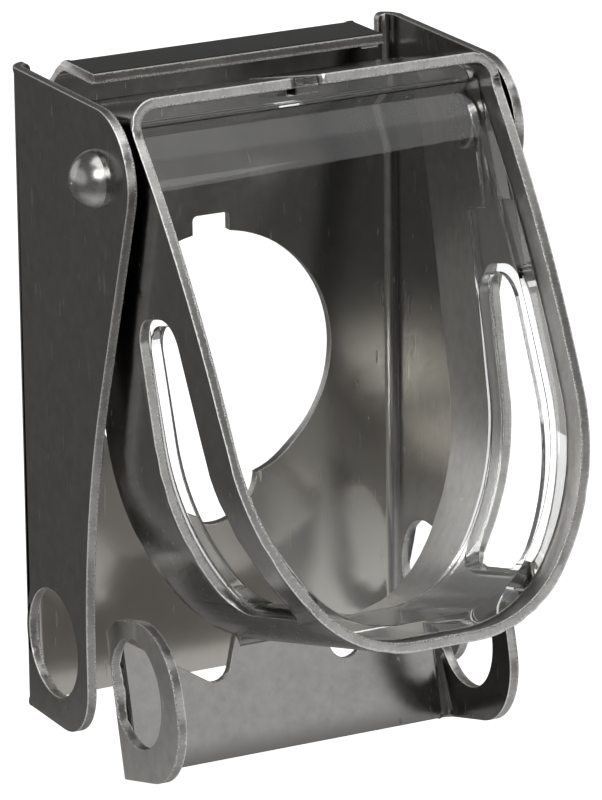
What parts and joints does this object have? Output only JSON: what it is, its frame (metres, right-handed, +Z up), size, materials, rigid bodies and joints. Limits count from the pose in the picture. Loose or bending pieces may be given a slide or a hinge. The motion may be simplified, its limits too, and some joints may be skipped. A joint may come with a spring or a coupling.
{
  "type": "pushbutton safety cover",
  "caption": "Lockable hinged cover for a panel pushbutton: folded steel bracket, riveted steel hoop with a curved clear window, finger slots and a hasp with padlock ears.",
  "frame": {"origin": "centre of the pushbutton hole on the rear face of the back plate, the face that lies on the panel", "axes": "+X right, +Y back into the panel, +Z up"},
  "size_m": [0.0558, 0.0577, 0.082],
  "materials": {
    "bracket_steel": "mill finish stainless sheet with bright sheared edges",
    "cover_steel": "mill finish stainless sheet with bright sheared edges",
    "clear_plastic": "clear and polished",
    "rivet_steel": "tumbled, satin"
  },
  "bodies": {
    "bracket": {"base_bracket": "bracket_steel", "rivet_left": "rivet_steel", "rivet_right": "rivet_steel"},
    "cover": {"cover_frame": "cover_steel", "clear_window": "clear_plastic"}
  },
  "joints": [
    {"name": "cover_hinge", "type": "hinge", "parent": "bracket", "child": "cover", "pos_m": [0, -0.023, 0.0306], "axis": [-1, 0, 0], "range_deg": [-14.2, 150.8]}
  ]
}
